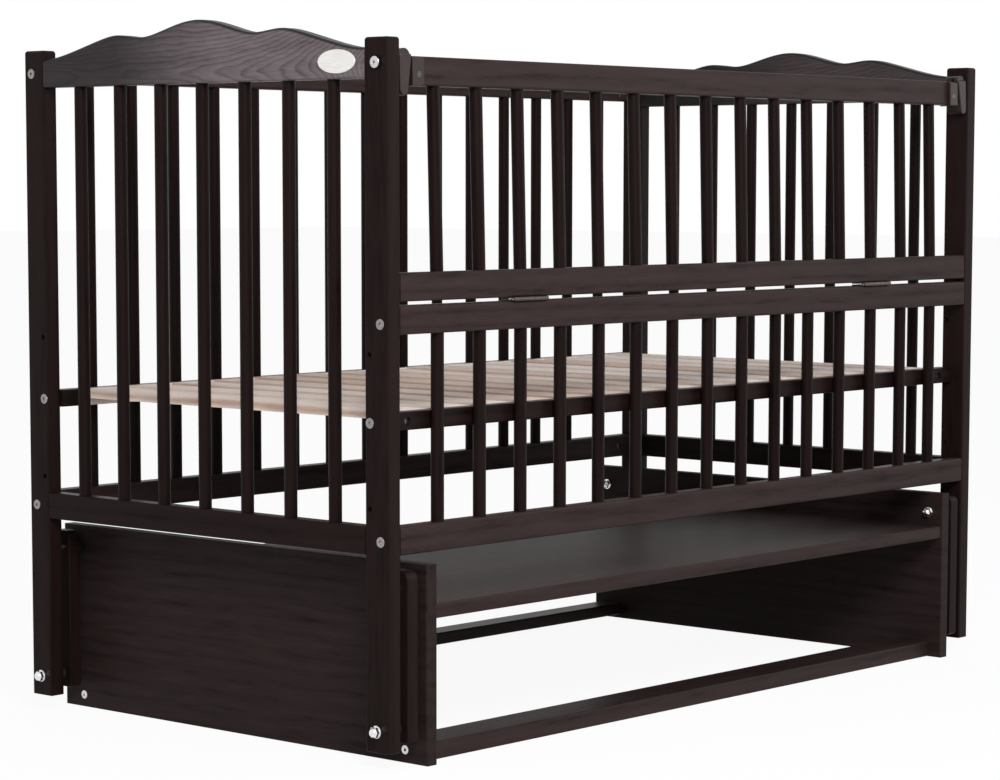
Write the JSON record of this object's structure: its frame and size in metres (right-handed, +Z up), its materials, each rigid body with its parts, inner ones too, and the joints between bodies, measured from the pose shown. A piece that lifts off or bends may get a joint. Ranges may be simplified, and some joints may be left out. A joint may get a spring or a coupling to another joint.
{
  "type": "swinging crib",
  "caption": "Slatted crib hung on swinging links from a low stand with a shelf, with a fold-down front side, wavy headboards and a slatted mattress base.",
  "frame": {"origin": "centre of the stand's footprint on the floor", "axes": "+X along the length, +Y from the fold-down front side to the rear, +Z up"},
  "size_m": [1.2656, 0.656, 0.8896],
  "materials": {
    "dark_wood": "satin lacquer over a very dark brown stain",
    "pine": "plain planed softwood",
    "beech": "plain turned hardwood",
    "steel": "zinc-plated",
    "chrome": "bright plated",
    "zinc": "plain die casting",
    "brown_plastic": "moulded, fine texture",
    "black_nylon": "moulded",
    "plate": "satin"
  },
  "bodies": {
    "stand": {"stand_panel_left": "dark_wood", "stand_panel_right": "dark_wood", "stand_shelf": "dark_wood", "stand_rail_front": "dark_wood", "stand_rail_rear": "dark_wood", "stand_screws": "steel", "stand_dowels": "beech", "shelf_cam_locks": "zinc", "shelf_cam_bolts": "steel", "stand_pivot_bolts": "chrome", "stand_pivot_nuts": "chrome", "stand_spacers": "black_nylon"},
    "link_front_left": {"link_front_left": "dark_wood"},
    "link_front_right": {"link_front_right": "dark_wood"},
    "link_rear_left": {"link_rear_left": "dark_wood"},
    "link_rear_right": {"link_rear_right": "dark_wood"},
    "flap": {"flap_top_rail": "dark_wood", "flap_bottom_rail": "dark_wood", "flap_spindles": "dark_wood", "hinge_flap_leaves": "steel", "hinge_flap_screws": "steel", "latch_bracket_left": "brown_plastic", "latch_bracket_right": "brown_plastic", "latch_bracket_screws": "steel", "latch_pins": "steel", "latch_springs": "steel"},
    "latch_lever_left": {"latch_lever_left": "brown_plastic"},
    "latch_lever_right": {"latch_lever_right": "brown_plastic"},
    "cradle": {"assembly_bolts": "steel", "barrel_nuts": "steel", "cradle_pivot_bolts": "chrome", "cradle_pivot_nuts": "chrome", "cradle_spacers": "black_nylon", "end_rail_left": "dark_wood", "end_rail_right": "dark_wood", "end_spindles_left": "dark_wood", "end_spindles_right": "dark_wood", "frame_dowels": "beech", "front_bottom_rail": "dark_wood", "front_mid_rail": "dark_wood", "front_spindles": "dark_wood", "headboard_left": "dark_wood", "headboard_right": "dark_wood", "hinge_fixed_leaves": "steel", "hinge_fixed_screws": "steel", "hinge_pins": "steel", "keeper_bolts": "steel", "keeper_plates": "brown_plastic", "mattress_rail_front": "pine", "mattress_rail_rear": "pine", "mattress_slats": "pine", "oval_plate": "plate", "post_front_left": "dark_wood", "post_front_right": "dark_wood", "post_rear_left": "dark_wood", "post_rear_right": "dark_wood", "rear_bottom_rail": "dark_wood", "rear_spindles": "dark_wood", "rear_top_rail": "dark_wood"}
  },
  "joints": [
    {"name": "swing", "type": "hinge", "parent": "stand", "child": "link_front_left", "pos_m": [-0.581, -0.3045, 0.2135], "axis": [1, 0, 0], "range_deg": [-10, 10]},
    {"name": "cradle_level", "type": "hinge", "parent": "link_front_left", "child": "cradle", "pos_m": [-0.581, -0.3045, 0.0475], "axis": [1, 0, 0], "range_deg": [-10, 10]},
    {"name": "swing_front_right", "type": "hinge", "parent": "stand", "child": "link_front_right", "pos_m": [0.581, -0.3045, 0.2135], "axis": [1, 0, 0], "range_deg": [-10, 10]},
    {"name": "swing_rear_left", "type": "hinge", "parent": "stand", "child": "link_rear_left", "pos_m": [-0.581, 0.3045, 0.2135], "axis": [1, 0, 0], "range_deg": [-10, 10]},
    {"name": "swing_rear_right", "type": "hinge", "parent": "stand", "child": "link_rear_right", "pos_m": [0.581, 0.3045, 0.2135], "axis": [1, 0, 0], "range_deg": [-10, 10]},
    {"name": "fold_down_side", "type": "hinge", "parent": "cradle", "child": "flap", "pos_m": [0, -0.325, 0.55175], "axis": [1, 0, 0], "range_deg": [0, 180]},
    {"name": "latch_right", "type": "hinge", "parent": "flap", "child": "latch_lever_right", "pos_m": [0.5883, -0.30925, 0.83789], "axis": [0, 0.9997, -0.0262], "range_deg": [0, 9], "stiffness_Nm_per_rad": 0.2, "springref_deg": -34.38},
    {"name": "latch_left", "type": "hinge", "parent": "flap", "child": "latch_lever_left", "pos_m": [-0.5883, -0.30925, 0.83789], "axis": [0, -0.9997, 0.0262], "range_deg": [0, 9], "stiffness_Nm_per_rad": 0.2, "springref_deg": -34.38}
  ],
  "couplings": [
    {"joint": "cradle_level", "follows": "swing", "ratio": -1},
    {"joint": "swing_front_right", "follows": "swing", "ratio": 1},
    {"joint": "swing_rear_left", "follows": "swing", "ratio": 1},
    {"joint": "swing_rear_right", "follows": "swing", "ratio": 1}
  ]
}
